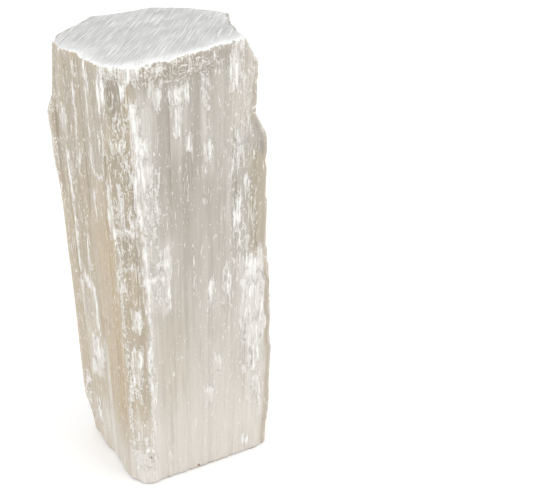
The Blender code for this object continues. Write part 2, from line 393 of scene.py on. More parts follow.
@dataclass(frozen=True)
class PatchMap:
    """Where each kind of surface lies, one table a kind.

    A row gives a Patch: first and last outline distance, negative to the left of the front left
    ridge, low and high, strength, and then ragged, soft and tall where they aren't the usual ones.
    """

    torn: Rows = (
        # Far left facet.
        (-36.1, -33.6, 185, 192, 0.78), (-36.1, -33.9, 165, 174, 0.82),
        (-36.2, -34.2, 174, 185, 0.78, 0.6), (-45.5, -40.5, 161, 173, 0.78),
        (-43.9, -41.3, 134, 156, 0.82, 0.6), (-43.7, -41.6, 101, 134, 0.76, 0.5),
        (-36.3, -33.8, 149, 157, 0.82), (-36, -34.3, 101, 129, 0.74, 0.5),
        (-44.3, -33, 93, 100, 0.72), (-44.3, -42.4, 76, 97, 0.7, 0.6), (-34.9, -32, 72, 96, 0.78),
        (-39.3, -31.8, 54, 69, 0.62), (-41.8, -33, 44, 54, 0.6), (-48, -44.3, 34, 42, 0.7),
        (-50, -46, 20, 30, 0.6), (-46.5, -43.5, 8, 20, 0.55), (-41, -37.5, 14, 31, 0.62),
        # Smooth tan facet.
        (-27.4, -22.4, 186, 194, 0.76), (-26.1, -24.3, 166, 186, 0.74, 0.5),
        (-26.8, -21.8, 154, 164, 0.76), (-24.9, -15.5, 153.3, 155.8, 0.6, 0.35),
        (-25.5, -23.3, 131, 147, 0.74),
        # Ridge between it and the bevel.
        (-15.5, -12, 180, 194, 0.72), (-14.8, -13.5, 156, 179, 0.6),
        (-14.3, -10.5, 132, 156, 0.62), (-11.1, -8, 111, 131, 0.5), (-10.8, -9, 77, 111, 0.5, 0.7),
        (-11, -8.6, 17, 77, 0.45, 1),
        # Bevel.
        (-6.1, -3, 185, 192, 0.65), (-13, -10.8, 187, 190, 0.6, 0.5), (-8.6, -2, 172, 181, 0.42),
        (-11.1, -5.5, 165, 171, 0.72, 0.6), (-5.3, -1.8, 154, 172, 0.45),
        (-8.6, -6.5, 136, 155, 0.6), (-13.6, -1.8, 132, 136.5, 0.72, 0.4),
        (-4.9, -1.5, 136, 142, 0.7, 0.6), (-9.9, -1.8, 117, 121, 0.48, 0.5),
        (-9.9, -7.8, 108, 113, 0.75, 0.5), (-6.8, -2.2, 86, 99, 0.63),
        (-8.6, -3, 68, 79, 0.68, 0.8), (-9.9, -3.6, 49, 69, 0.56), (-9.3, -1.8, 24, 31, 0.5),
        (-9.9, 2, 7, 21, 0.5),
        # Front left ridge.
        (-2.6, 0.2, 136, 186, 0.76, 0.8), (-1.3, 2.2, 97, 136, 0.6), (-0.3, 1.5, 77, 97, 0.6),
        (-0.8, 2.2, 66, 80, 0.74, 1.2), (-0.8, 2, 44, 66, 0.62, 1.4), (-0.3, 1.5, 21, 44, 0.6, 1),
        (-3.6, 0, 19.5, 23, 0.8, 0.4),
        # Front face, left to right.
        (-1.5, 4.5, 165, 173, 0.6), (-1.5, 1.4, 172, 186, 0.6), (7, 10.4, 97, 129, 0.66, 0.8),
        (-0.5, 6.5, 129, 164, 0.54), (0, 8, 98, 129, 0.42), (0.1, 10.1, 112.4, 114.9, 0.75, 0.35),
        (3.2, 7, 149, 166, 0.45), (3.9, 9.5, 183, 192, 0.62), (11.4, 18.9, 182, 188.7, 0.78, 0.7),
        (12, 15.7, 169, 182, 0.7), (16.4, 19.2, 179, 190, 0.55), (16.5, 19.5, 162, 170, 0.7, 0.7),
        (16.9, 17.9, 134, 159, 0.55, 0.4), (18.7, 19.9, 97, 126, 0.55, 0.4),
        (23.9, 27.6, 180, 193, 0.6), (23.6, 27.7, 160, 169, 0.74, 0.7),
        (24.1, 25.2, 142, 160, 0.62, 0.4), (23.7, 25.5, 142, 146.5, 0.8, 0.4),
        (25.1, 29, 94, 108, 0.68), (28, 31.7, 57, 67, 0.7), (23.2, 28.5, 39, 52, 0.64),
        (32.5, 36.5, 93.7, 112, 0.68), (35.2, 40.8, 185, 203, 0.7), (35.5, 43, 154, 168, 0.58),
        (36.5, 41.4, 130, 142.7, 0.8, 0.8), (35.7, 47, 114, 131, 0.4),
        (43, 46, 141.5, 151, 0.75, 0.7), (47.6, 50.2, 171, 184, 0.68),
        (43.9, 54.5, 104, 116, 0.75), (41.4, 54.5, 66, 104, 0.64, 1.4),
        (44.5, 52.2, 54, 67.7, 0.62), (41.2, 44.2, 50, 56, 0.7, 0.6), (45.7, 52.2, 37, 51, 0.5),
        (50.5, 52.2, 21, 44, 0.62, 0.6), (43, 47.2, 4, 12.7, 0.7, 0.7),
        (40.1, 42.7, 32, 37, 0.55, 0.5),
        # Under the rim of the upper cut.
        (-15.5, 1, 191.2, 198.5, 0.55, 0.8, 0.5), (1, 8.5, 194, 199.5, 0.5, 0.8, 0.5),
        (40, 45, 194, 203, 0.5, 0.8), (40, 54, 183, 193, 0.42),
        # Right flank and the sides behind.
        (62, 64.5, 20, 64, 0.66), (70, 74, 96, 122, 0.75), (72, 77, 120, 142, 0.6),
        (66.5, 68, 60, 150, 0.55, 0.6), (86, 91, 40, 84, 0.66), (80, 82, 104, 190, 0.6, 0.7),
        (96, 101, 150, 176, 0.75), (99, 103, 118, 150, 0.6), (90.5, 93, 8, 60, 0.6, 0.7),
        (105, 107, 20, 96, 0.55, 0.6), (112, 116, 60, 112, 0.7), (110, 122, 184, 196, 0.6),
        (118, 119.4, 120, 190, 0.6, 0.5), (121, 130, 158, 182, 0.66), (126, 130, 96, 132, 0.6),
        (133, 138, 22, 70, 0.66), (139, 140.6, 80, 184, 0.62, 0.6), (144, 148, 150, 176, 0.6),
        (149, 157, 100, 146, 0.7), (152, 154, 12, 100, 0.6, 0.7), (161, 163, 60, 190, 0.6, 0.7),
        (166, 172, 40, 84, 0.66), (171, 173, 110, 180, 0.6, 0.6), (176, 180, 130, 164, 0.66),
        (180, 184, 20, 52, 0.55),
    )
    # Milky veils. The first two rows, at the foot of the left facets, are painted light of floor
    # light glowing through the crystal.
    milky: Rows = (
        (-54, -31.8, -20, 37, 0.25, 1, 3), (-41, -26.5, -20, 32, 0.6, 1, 2.5),
        (-31.6, -27, 2, 70, 0.5, 0.5, 1), (-44, -32, 44, 100, 0.3, 1, 2),
        (-15.5, -12, 180, 194, 0.3), (-1.5, 5.5, 129, 186, 0.55, 1, 2),
        (-1.2, 10.4, 97, 131, 0.5, 0.6, 0.8), (-0.8, 4, 20, 97, 0.35, 1, 2),
        (3.9, 9.5, 183, 192, 0.55, 1, 0.8), (11.4, 19.5, 162, 189, 0.35, 1, 1.5),
        (23.2, 28.2, 154, 193, 0.35, 1, 1.5), (28.5, 36, 110, 195, 0.15, 1, 2),
        (34.5, 52, 166, 196, 0.5, 1, 2), (35, 50, 163, 170, 0.6, 0.8, 1),
        (41, 54.5, 66, 116, 0.5, 1, 2), (43, 52.5, 21, 66, 0.35, 1, 2),
        (24, 31, 88, 129, 0.15, 1, 2), (26, 33, 38, 70, 0.2, 1, 3), (-10.5, 3, -20, 40, 0.5, 1, 2),
        (60, 68, 10, 70, 0.4, 1, 2), (70, 78, 92, 150, 0.45, 1, 2), (84, 92, 30, 90, 0.4, 1, 2),
        (95, 104, 112, 182, 0.45, 1, 2), (110, 118, 50, 124, 0.4, 1, 2),
        (120, 132, 146, 192, 0.4, 1, 2), (132, 140, -20, 78, 0.4, 1, 3),
        (148, 158, 90, 154, 0.5, 1, 2), (164, 172, -20, 90, 0.4, 1, 3),
        (174, 181, 120, 176, 0.4, 1, 2),
    )
    # Darker patches. The rows from 192.5 to 201 under the front rim are painted shade below its
    # overhang; the rest make the crystal darker in places.
    dusky: Rows = (
        (9, 25, 192.5, 199, 0.8, 0.8), (24, 34, 194, 201, 0.3, 0.8), (-13.2, -3.6, 177, 192, 0.75),
        (-11, -3.6, 155, 165, 0.5), (-11, -0.5, 121, 132, 0.6), (7, 30, 148, 194, 0.4, 1, 3, 5),
        (1.4, 18, 154, 182, 0.3, 1, 2), (50, 58, 158, 164, 0.8, 0.6),
        (45.7, 58, 117, 158, 0.4, 1, 1.5), (54.2, 58.5, -20, 104, 0.6, 0.6, 1),
        (50.1, 58, 167, 186, 0.5, 1, 1), (-54, -45.5, 137, 196, 0.45, 1, 2),
        (-41, -36.5, 101, 196, 0.45, 1, 1), (-33, -27.4, 137, 196, 0.45, 1, 1),
        (-23.6, -14.5, 154, 196, 0.5, 1, 1), (-41.8, -37.5, 76, 90, 0.5), (-46, -45, 60, 190, 0.3),
        (64, 70, 100, 190, 0.5, 1, 2), (78, 84, 40, 130, 0.5, 1, 2),
        (92, 96, 60, 170, 0.45, 1, 1.5), (104, 110, 100, 196, 0.5, 1, 2),
        (118, 124, 30, 120, 0.45, 1, 2), (131, 136, 90, 190, 0.5, 1, 2),
        (141, 147, 20, 130, 0.5, 1, 2), (157, 163, 90, 196, 0.5, 1, 2),
        (172, 178, 20, 110, 0.45, 1, 2),
    )
    warm: Rows = (
        (-28, -10.8, 24, 146, 1, 0.6, 1.2, 18), (-33, -10.5, 60, 166, 0.7, 1, 3, 6),
        (-28, -10.8, -20, 36, 0.25, 1, 2), (-54, -30, -20, 154, 0.7, 1, 4),
        (-54, -10.8, 150, 230, 0.5, 1, 4), (-13, -0.3, 20, 192, 0.62, 1, 2),
        (2, 16, 44, 97, 0.22, 1, 4), (2, 23, 190, 200, 0.3), (35.7, 56, 167, 196, 0.3, 1, 2),
        (45.7, 58.5, 110, 162, 0.5, 1, 2), (54, 58.5, -20, 110, 0.6, 1, 1.5),
        (60, 76, 60, 180, 0.5, 1, 3), (90, 104, -20, 110, 0.6, 1, 3),
        (118, 134, 40, 150, 0.7, 1, 3), (156, 170, 70, 196, 0.5, 1, 3),
    )
    busy: Rows = (
        (-54, -31.8, 90, 196, 0.4, 1, 2), (-54, -32, 10, 90, 0.3, 1, 2),
        (-31, -14, 130, 196, 0.3, 1, 2), (-14, -0.5, 100, 196, 0.5, 1, 1),
        (-14, -0.5, 12, 100, 0.3, 1, 1), (-15, 56, 188, 230, 0.45, 0.8),
        (34, 52, 104, 200, 0.5, 1, 2), (0, 34, 130, 190, 0.2, 1, 3), (22, 52, 40, 104, 0.25, 1, 3),
        (62, 104, 40, 196, 0.5, 1, 4), (104, 180, 30, 196, 0.5, 1, 6),
    )
    rough: Rows = (
        (-15, 10, 190, 230, 0.6), (9, 27, 190, 230, 0.9), (26, 36, 193, 230, 0.6),
        (36, 54, 193, 230, 0.3), (-10, -1.5, 132, 156, 0.6), (-10, -1.5, 58, 100, 0.4),
        (-50, -44, 10, 40, 0.6), (52, 64, 172, 204, 0.8), (104, 122, 178, 200, 0.7),
        (150, 160, 176, 200, 0.7), (80, 96, 4, 26, 0.7),
    )
    glassy: Rows = (
        (-54, -47.8, 140, 174, 0.9), (55, 62, 154, 170, 0.9), (-12.4, -4.3, 179, 191, 0.5),
        (-11, -3.6, 155, 165, 0.7), (-11, -0.5, 121, 132, 0.8),
        (-28, -12, 30, 128, 0.7, 1, 1.5, 12), (46, 58, 120, 162, 0.4), (120, 132, 40, 140, 0.6),
    )
    stained: Rows = (
        (-3.2, -2.5, 18.8, 20.2, 0.8, 0.2, 0.3), (-2.3, -1.2, 15.7, 17.3, 0.85, 0.2, 0.3),
        (3, 4.2, 0, 1.4, 0.8, 0.3, 0.4), (20.4, 22, 0, 1.8, 0.9, 0.3, 0.4),
        (31, 36, 0, 1, 0.7, 0.3, 0.4), (46, 47, 0, 1.2, 0.8, 0.3, 0.4),
        (-22, -16, 0, 1.2, 0.6, 0.3, 0.4), (-40, -36, 0, 1, 0.6, 0.3, 0.4),
    )

    def of(self, surface: Surface) -> tuple[Patch, ...]:
        """The patches of one kind."""
        return tuple(Patch(*row) for row in getattr(self, surface.value))


@dataclass
class StripPlan:
    """The solid's own strips and ledges, drawn in the same order from the same random numbers.

    Its steps are softened to a share, and its bands to another, because light bleeds through them.
    """

    outline: Outline
    seed: int = 11
    widths: tuple[float, float] = (2.4, 6.4)
    edge_wander: float = 0.3
    steps: tuple[float, float] = (0.1, 0.5)
    top_step: float = 0.4
    most_relief: float = 0.8
    ledge_heights: tuple[float, ...] = (16, 36, 60, 83, 101, 118, 136, 152, 168, 184)
    lean_heights: tuple[float, ...] = (16, 36, 60, 83, 101, 118, 136, 152, 165, 184)
    lean_jag: float = 0.25
    ledge_drop: float = 1.2
    ledge_drop_per_step: float = 1.6
    ledge_jitter: float = 4.5
    ledge_chance: float = 0.34
    top: float = 198.8
    flank_lean: tuple[float, ...] = (0.06, 0, 0.05, 0.13, 0.23, 0.37, 0.46, 0.53, 0.6, 0.98, 0.99)
    bands: tuple[Band, ...] = (
        Band((2.5, 0.0), (10.5, 0.0), 101, 184, 0.6),
        Band((14.0, 0.0), (20.0, 0.0), 152, 190, 0.5),
        Band((26.0, 0.0), (31.0, 0.0), 152, 168, 0.5),
        Band((41.0, 0.0), (45.0, 0.0), 118, 152, 0.5),
        Band((44.0, 0.0), (54.0, 0.0), 36, 118, 0.7),
        Band((28.0, 0.0), (33.0, 0.0), 83, 118, -0.4),
        Band((-14.8, 46.0), (-15.4, 40.0), 136, 168, 0.8),
        Band((-16.8, 43.5), (-14.0, 38.0), 36, 136, 0.4),
        Band((-10.0, 24.0), (-9.2, 17.0), 0, 83, -0.7),
        Band((-9.0, 15.0), (-7.4, 7.0), 136, 184, 0.6),
    )
    step_share: float = 0.25
    band_share: float = 0.45
    edges: Array = field(init=False)
    relief: Array = field(init=False)
    jitter: Array = field(init=False)

    def __post_init__(self) -> None:
        """Draws the strips, their relief and their ledges."""
        rng = np.random.default_rng(self.seed)
        self.edges = self._edges(rng)
        self.relief = self._relief(rng)
        shape = (len(self.ledge_heights), len(self.edges) - 1)
        self.jitter = rng.uniform(-self.ledge_jitter, self.ledge_jitter, shape)

    def _edges(self, rng: np.random.Generator) -> Array:
        """Outline distances between which the strips lie. Every corner is the edge of a strip."""
        distances = self.outline.distances()
        wander = self.edge_wander
        edges = [0.0]
        for start, end in zip(distances, distances[1:]):
            count = max(1, round((end - start) / rng.uniform(*self.widths)))
            shares = np.arange(1, count) + rng.uniform(-wander, wander, count - 1)
            edges += [start + (end - start) * share / count for share in shares]
            edges.append(end)
        return np.array(edges)

    def middles(self) -> Array:
        """Outline distance of the middle of each strip."""
        return (self.edges[1:] + self.edges[:-1]) / 2

    def _relief(self, rng: np.random.Generator) -> Array:
        """How proud each strip stands in each stretch between two ledges: strips x stretches."""
        strips = len(self.edges) - 1
        relief = np.zeros((strips, len(self.ledge_heights) + 1))
        relief[:, -1] = rng.uniform(-self.top_step, self.top_step, strips)
        for stretch in range(len(self.ledge_heights) - 1, -1, -1):
            breaks = rng.random(strips) < self.ledge_chance
            step = rng.uniform(*self.steps, strips) * rng.choice([-1, 1], strips)
            relief[:, stretch] = relief[:, stretch + 1] + np.where(breaks, step, 0.0)
        relief = np.clip(relief, -self.most_relief, self.most_relief) * self.step_share
        middles = self.middles()
        bounds = np.concatenate([[0.0], self.ledge_heights, [self.top]])
        levels = (bounds[1:] + bounds[:-1]) / 2
        for band in self.bands:
            first, last = (self.outline.distance_of(p) for p in (band.first, band.last))
            inside = (middles > first) & (middles < last)
            beside = (levels > band.low) & (levels < band.high)
            relief[np.ix_(inside, beside)] += band.proud * self.band_share
        return relief

    def stepped(self, strip: Array, jag: Array, z: Array) -> tuple[Array, Array]:
        """Relief and lean, with every ledge a short slope: r0 + sum of (r after - before) x ramp.

        Args:
            strip: Strip of each column.
            jag: How far each column's ledges lie above its strip's: ledges x columns.
            z: Heights, rows x columns.

        Returns:
            Relief and share of the flank's lean, rows x columns.
        """
        moves = np.linalg.norm(self.outline.moves(), axis=1)
        distances = self.outline.distances()
        move = np.interp(self.middles(), distances, np.append(moves, moves[0]))[strip]
        relief = np.broadcast_to(self.relief[strip, 0], z.shape).copy()
        lean = np.full(z.shape, self.flank_lean[0])
        for k, height in enumerate(self.ledge_heights):
            back = self.flank_lean[k + 1] - self.flank_lean[k]
            drop = self.ledge_drop + self.ledge_drop_per_step * move * abs(back)
            step = ramp(z, height + self.jitter[k][strip] + jag[k], drop)
            relief += (self.relief[strip, k + 1] - self.relief[strip, k]) * step
            turn = self.lean_heights[k] + self.jitter[k][strip] + self.lean_jag * jag[k]
            lean += back * ramp(z, turn, drop)
        return relief, lean


@dataclass
class FibreBundle:
    """The crystal: an upright bundle of fibres with split sides and two sawn ends."""

    name: str = "selenite_crystal"
    body: str = "root"
    node: str = "selenite_blade"
    slot: str = "satin_spar"
    outline: Outline = field(default_factory=Outline)
    cut: SawCut = field(default_factory=SawCut)
    corner: BrokenCorner = field(default_factory=BrokenCorner)
    patches: PatchMap = field(default_factory=PatchMap)
    centre: tuple[float, float] = (21.51795, 31.90634)
    rows: int = 204
    strip_reach: float = 1.5
    lump_reach: float = 9.0

    fibre_seed: int = 5
    break_seed: int = 23
    splinter_seed: int = 33
    jag_seed: int = 17
    fibre_width: float = 1.55
    fibre_wander: float = 0.25
    edge_gap: float = 0.2
    fibre_breaks: int = 9
    fibre_top: float = 205.0
    fibre_step: float = 0.045
    fibre_slope: float = 0.5
    fibre_jag: float = 2.2
    splinter: float = 2.4
    ripple: float = 0.05
    swell: float = 0.18
    grit: float = 0.3
    calmed: float = 0.75
    flake: float = 0.16
    flake_grit: float = 0.14
    flake_ragged: float = 0.35
    flake_edge: tuple[float, float] = (0.4, 0.65)
    foot_chip: float = 0.45
    foot_chip_varies: float = 0.3
    foot_chip_height: float = 0.35
    rim_chip: float = 0.4
    rim_chip_varies: float = 0.22
    rim_chip_inward: float = 0.3
    rim_chip_height: float = 0.45
    stain_height: float = 1.2

    front: tuple[float, float, int] = (5.0, 56.0, 6)
    glow_front: tuple[float, float, int] = (28.0, 34.0, 4)
    glow_behind: float = 0.45
    glow_top: float = 165.0
    glow_wobble: float = 14.0
    glow_foot: float = 16.0
    bruised_front: tuple[float, float, int] = (14.0, 24.0, 4)
    bruised_corner: tuple[float, float, int] = (237.5, 9.0, 4)
    bruise_widths: tuple[float, ...] = (0.1, 2.6, 0.1, 0.35)
    bruise_least: float = 0.2
    bruise_behind: float = -0.6
    cut_white: float = 0.65
    cut_white_widths: tuple[float, float] = (0.8, 4.2)
    cut_worn: tuple[float, float] = (0.7, 0.6)
    cut_worn_width: float = 1.2
    cap_insets: tuple[float, ...] = (0.5, 1.5, 3.2)
    cap_shares: tuple[float, ...] = (0.85, 0.6, 0.35, 0.15)
    cap_reach: tuple[float, float] = (0.6, 1.2)
    cap_evened: float = 9.0
    cap_radius: float = 30.0
    lumps: tuple[Lump, ...] = (
        Lump((19, 0), 200, 14, 9, 2), Lump((14, 0), 187, 17, 7, -0.8),
        Lump((18, 63.5), 204, 12, 34, -1.3), Lump((61, 3), 160, 6, 6, 0.6),
        Lump((-16.8, 43.5), 208, 10, 40, -3), Lump((-16.8, 43.5), 154, 3.4, 17, 1),
        Lump((-16.8, 43.5), 169.5, 3, 5.5, 0.9), Lump((-16.8, 43.5), 166, 3.2, 7, 0.7),
        Lump((-16.8, 43.5), 0, 15, 26, -3), Lump((-5, 3), 187, 3.8, 9, -1.8),
        Lump((-6, 4), 165, 4, 7, -0.9), Lump((-4, 2), 128, 5, 10, -0.9),
        Lump((0, 0), 68, 5, 34, -0.8), Lump((0, 0), 0, 5, 10, 1.2),
        Lump((61.5, 12), 0, 12, 26, -1.6), Lump((43, 51), 150, 22, 44, 1.3),
        Lump((22, 62.5), 45, 18, 40, -1.5), Lump((59, 27), 92, 12, 34, -1.2),
        Lump((5.7, 65.6), 100, 12, 36, 1),
    )
    chips: tuple[Chip, ...] = (
        Chip((4.0, 0.0), 4.0, 0.7),
        Chip((13.0, 0.0), 3.0, 0.8),
        Chip((-9.6, 20.0), 3.0, 0.8),
        Chip((-14.0, 36.0), 2.5, 0.7),
    )

    def columns(self, plan: StripPlan) -> tuple[Array, Array, Array]:
        """Outline distance, strip and fibre of each column of points.

        Every strip is split into fibres about fibre_width wide, and a fibre has three columns:
        one just inside each edge and one in the middle, so that its edges are crisp steps.

        Args:
            plan: The strips.

        Returns:
            Outline distances, strip numbers and fibre numbers.
        """
        rng = np.random.default_rng(self.fibre_seed)
        widths = np.diff(plan.edges)
        counts = np.maximum(1, np.round(widths / self.fibre_width)).astype(int)
        strip = np.repeat(np.arange(len(widths)), counts)
        order = np.arange(len(strip)) - np.repeat(np.cumsum(counts) - counts, counts)
        wander = rng.uniform(-self.fibre_wander, self.fibre_wander, len(strip)) * (order > 0)
        start = plan.edges[strip] + widths[strip] * (order + wander) / counts[strip]
        end = np.append(start[1:], plan.edges[-1])
        half = self.edge_gap / 2
        places = np.stack([start + half, (start + end) / 2, end - half], axis=1)
        return places.reshape(-1), np.repeat(strip, 3), np.repeat(np.arange(len(strip)), 3)

    def fibre_relief(self, fibre: Array, z: Array) -> Array:
        """Relief of the fibres, each of which breaks off at heights of its own.

        Args:
            fibre: Fibre of each column.
            z: Heights, rows x columns.

        Returns:
            r0 + sum over the breaks of (r after - r before) x smooth step, rows x columns.
        """
        rng = np.random.default_rng(self.break_seed)
        count = fibre.max() + 1
        breaks = np.sort(rng.uniform(0.0, self.fibre_top, (self.fibre_breaks, count)), axis=0)
        levels = rng.normal(0.0, self.fibre_step, (self.fibre_breaks + 1, count))[:, fibre]
        total = np.broadcast_to(levels[0], z.shape).copy()
        for edge, step in zip(breaks[:, fibre], np.diff(levels, axis=0)):
            total += step * rise(z, edge - self.fibre_slope, edge + self.fibre_slope)
        return total

    def lump_relief(self, along: Array, z: Array) -> Array:
        """Sum of the broad lumps and scars, rows x columns."""
        total = np.zeros(z.shape)
        for lump in self.lumps:
            apart = self.outline.apart(along, self.outline.distance_of(lump.point))
            radius = np.hypot(apart / lump.half_width, (z - lump.height) / lump.half_height)
            total += lump.proud * np.clip(1 - radius**2, 0, None) ** lump.power
        return total

    def patch_mask(self, surface: Surface, along: Array, fibre: Array, z: Array) -> Array:
        """How much each point belongs to the patches of one kind, from 0 to 1.

        A patch is the product of a smooth window round the outline and one up and down, after both
        places have been shifted by noise, so that its edge is splintered along the fibres.

        Args:
            surface: The kind of patch.
            along: Outline distance of each column.
            fibre: Fibre of each column.
            z: Heights, rows x columns.

        Returns:
            The mask, rows x columns.
        """
        sideways = self.outline.noise(Wander.SIDEWAYS, along, z)
        splinter = np.random.default_rng(self.splinter_seed).uniform(-1, 1, fibre.max() + 1)[fibre]
        upward = self.splinter * (splinter + self.outline.noise(Wander.UPWARD, along, z))
        mask = np.zeros(z.shape)
        for patch in self.patches.of(surface):
            apart = self.outline.apart(along, (patch.first + patch.last) / 2)
            shifted = apart + patch.ragged * sideways, z + patch.ragged * upward
            mask = np.maximum(mask, patch.window(*shifted))
        return mask

    def chipped(self, along: Array) -> Array:
        """Sum of the depths of the larger chips in the edge of the upper cut."""
        total = np.zeros(along.shape)
        for chip in self.chips:
            apart = self.outline.apart(along, self.outline.distance_of(chip.point))
            total += chip.depth * np.clip(1 - (apart / chip.half_width) ** 2, 0, None)
        return total

    def rim(self, plan: StripPlan, along: Array) -> tuple[Array, Array]:
        """The broken edge of the upper cut: a small chip everywhere, and the larger ones.

        Args:
            plan: The strips.
            along: Outline distance of each column.

        Returns:
            The edge's height, and how deep it lies below the plane of the cut.
        """
        at, normals = self.outline.place(along, np.full((1, len(along)), plan.flank_lean[-1]))
        lumps = self.lump_relief(along, np.full((1, len(along)), plan.top))
        at = at + self.outline.rounded(normals, along, self.lump_reach) * lumps[..., None]
        x = np.minimum(at[0, :, 0], self.corner.limit(at[0, :, 1], self.corner.top))
        small = self.rim_chip + self.rim_chip_varies * self.outline.noise(Wander.RIM, along)
        broken = small + self.chipped(along)
        return self.cut.at(x, at[0, :, 1]) - broken, broken

    def wall(self) -> tuple[Array, dict[str, Array]]:
        """The side, foot to rim: leaning outline + lumps + strips + fibres + fine relief.

        Returns:
            Points in millimetres, rows x columns x (x, y, z), and the masks, rows x columns.
        """
        plan = StripPlan(self.outline)
        along, strip, fibre = self.columns(plan)
        rng = np.random.default_rng(self.jag_seed)
        jag = rng.uniform(-1, 1, (len(plan.ledge_heights), fibre.max() + 1))[:, fibre]
        top_z, broken = self.rim(plan, along)
        z = np.linspace(0.0, 1.0, self.rows)[:, None] * top_z[None, :]
        below_top = top_z[None, :] - z
        masks = {kind.value: self.patch_mask(kind, along, fibre, z) for kind in Surface}
        masks[Mask.BRUISE.value] = self.bruise(along, below_top)
        masks[Mask.FOOT.value] = np.exp(-z / self.stain_height)
        # Painted light: the crystal lighter toward the foot, where floor light glows up through
        # it.
        masks[Mask.PALE.value] = self.painted_glow(along, z)

        relief, lean = plan.stepped(strip, jag * self.fibre_jag, z)
        relief = relief + self.fine_relief(along, fibre, z, masks)
        near_foot = np.exp(-z / self.foot_chip_height)
        chips = self.foot_chip + self.foot_chip_varies * self.outline.noise(Wander.FOOT, along)
        near_rim = np.exp(-below_top / self.rim_chip_height)
        relief = relief - near_foot * chips - near_rim * broken * self.rim_chip_inward

        smooth, normals = self.outline.place(along, lean)
        broad = self.outline.rounded(normals, along, self.lump_reach)
        normals = self.outline.rounded(normals, along, self.strip_reach)
        points = smooth + broad * self.lump_relief(along, z)[..., None]
        relief = relief * self.corner.kept(points, z)
        points = points + normals * relief[..., None]
        # The broken face runs back along Y, so its crumbs are read by Y and not round the outline.
        crumbled = self.outline.noise(Wander.CRUMBLED, points[..., 1] * 2.0 + 20.0, z)
        limit = self.corner.limit(points[..., 1], z)
        limit = limit + self.corner.crumb * crumbled * rise(below_top, 0.0, 2.0)
        points[..., 0] = np.minimum(points[..., 0], limit)
        return np.dstack([points, z]), masks

    def fine_relief(
        self, along: Array, fibre: Array, z: Array, masks: dict[str, Array]
    ) -> Array:
        """Fibres, ripples, swells, grit where it is rough and flakes where it is torn.

        Args:
            along: Outline distance of each column.
            fibre: Fibre of each column.
            z: Heights, rows x columns.
            masks: The masks of the kinds of surface.

        Returns:
            The relief, rows x columns.
        """
        kinds = (Wander.RIPPLE, Wander.SWELL, Wander.GRIT, Wander.FLAKE)
        ripple, swell, grit, flake = (self.outline.noise(kind, along, z) for kind in kinds)
        calm = 1.0 - self.calmed * masks[Surface.GLASSY.value]
        relief = (self.fibre_relief(fibre, z) + self.ripple * ripple) * calm
        relief = relief + self.swell * swell + self.grit * grit * masks[Surface.ROUGH.value]
        flaked = rise(masks[Surface.TORN.value] + self.flake_ragged * flake, *self.flake_edge)
        return relief + flaked * (self.flake + self.flake_grit * grit)

    def painted_glow(self, along: Array, z: Array) -> Array:
        """How much lighter the crystal is painted, more toward the foot and most in front: painted
        light of floor light glowing up through it.

        Args:
            along: Outline distance of each column.
            z: Heights, rows x columns.

        Returns:
            From 0 to 1, rows x columns.
        """
        near = self.outline.near(along, *self.glow_front)
        front = self.glow_behind + (1 - self.glow_behind) * near
        wobble = self.outline.noise(Wander.PALE, along, z)
        low = 1.0 - rise(z + self.glow_wobble * wobble, 0.0, self.glow_top)
        return np.clip(low * front + (1 - front) * np.exp(-z / self.glow_foot), 0.0, 1.0)

    def bruise(self, along: Array, below: Array) -> Array:
        """Whitening under the upper rim, widest at the front left corner, and dulling behind.

        Its width is a base, more at the corner, more in front, and a wobble: bruise_widths.

        Args:
            along: Outline distance of each column.
            below: How far each point lies below the rim, rows x columns.

        Returns:
            1 at the rim, or bruise_behind there, falling to 0 over its width, rows x columns.
        """
        corner = self.outline.near(along, *self.bruised_corner)
        front = self.outline.near(along, *self.bruised_front)
        wobble = self.outline.noise(Wander.BRUISED, along)
        width = sum(w * a for w, a in zip(self.bruise_widths, (1.0, corner, front, wobble)))
        behind = self.bruise_behind
        strength = behind + (1 - behind) * self.outline.near(along, *self.front)
        return np.clip(1 - below / np.maximum(width, self.bruise_least), 0, 1) * strength

    def cut_bruise(self, along: Array, inward: Array) -> Array:
        """Whitening of the upper cut along its front rim, and dulling of its worn rim behind.

        Each is a share times exp(-(distance in / width)), and the dulling is taken away.

        Args:
            along: Outline distance of each column.
            inward: How far each ring lies inside the rim, rings x 1.

        Returns:
            From -1 to 1, rings x columns.
        """
        front = self.outline.near(along, *self.front)
        least, more = self.cut_white_widths
        white = self.cut_white * front * np.exp(-inward / (least + more * front))
        share, wobble = self.cut_worn
        worn = (1 - front) * (share + wobble * self.outline.noise(Wander.WORN, along))
        return white - worn * np.exp(-inward / self.cut_worn_width)

    def cap(self, rim: Array, height: Callable[[Array, Array], Array], chipped: Array) -> Array:
        """Rings from a rim to near its middle, the first few at a set inset, the rest in shares.

        An inset ring is the rim, averaged over a stretch a little longer than the inset, and then
        drawn toward the middle by the inset and the chips' depth. A share ring is
        middle + share x (ring - middle), where the ring is the last inset one.

        Args:
            rim: Points of the rim, columns x (x, y).
            height: Function from x and y to the height of the face.
            chipped: How much further in the face starts at each column.

        Returns:
            Points, rings x columns x (x, y, z).
        """
        middle = evened(rim, self.cap_evened).mean(axis=0)
        rings = []
        for inset in self.cap_insets:
            away = evened(rim, self.cap_reach[0] + self.cap_reach[1] * inset) - middle
            radius = np.linalg.norm(away, axis=1)
            rings.append(middle + away * (1 - (inset + chipped) / radius)[:, None])
        rings += [middle + share * (rings[-1] - middle) for share in self.cap_shares]
        grid = np.array(rings)
        return np.dstack([grid, height(grid[..., 0], grid[..., 1])])

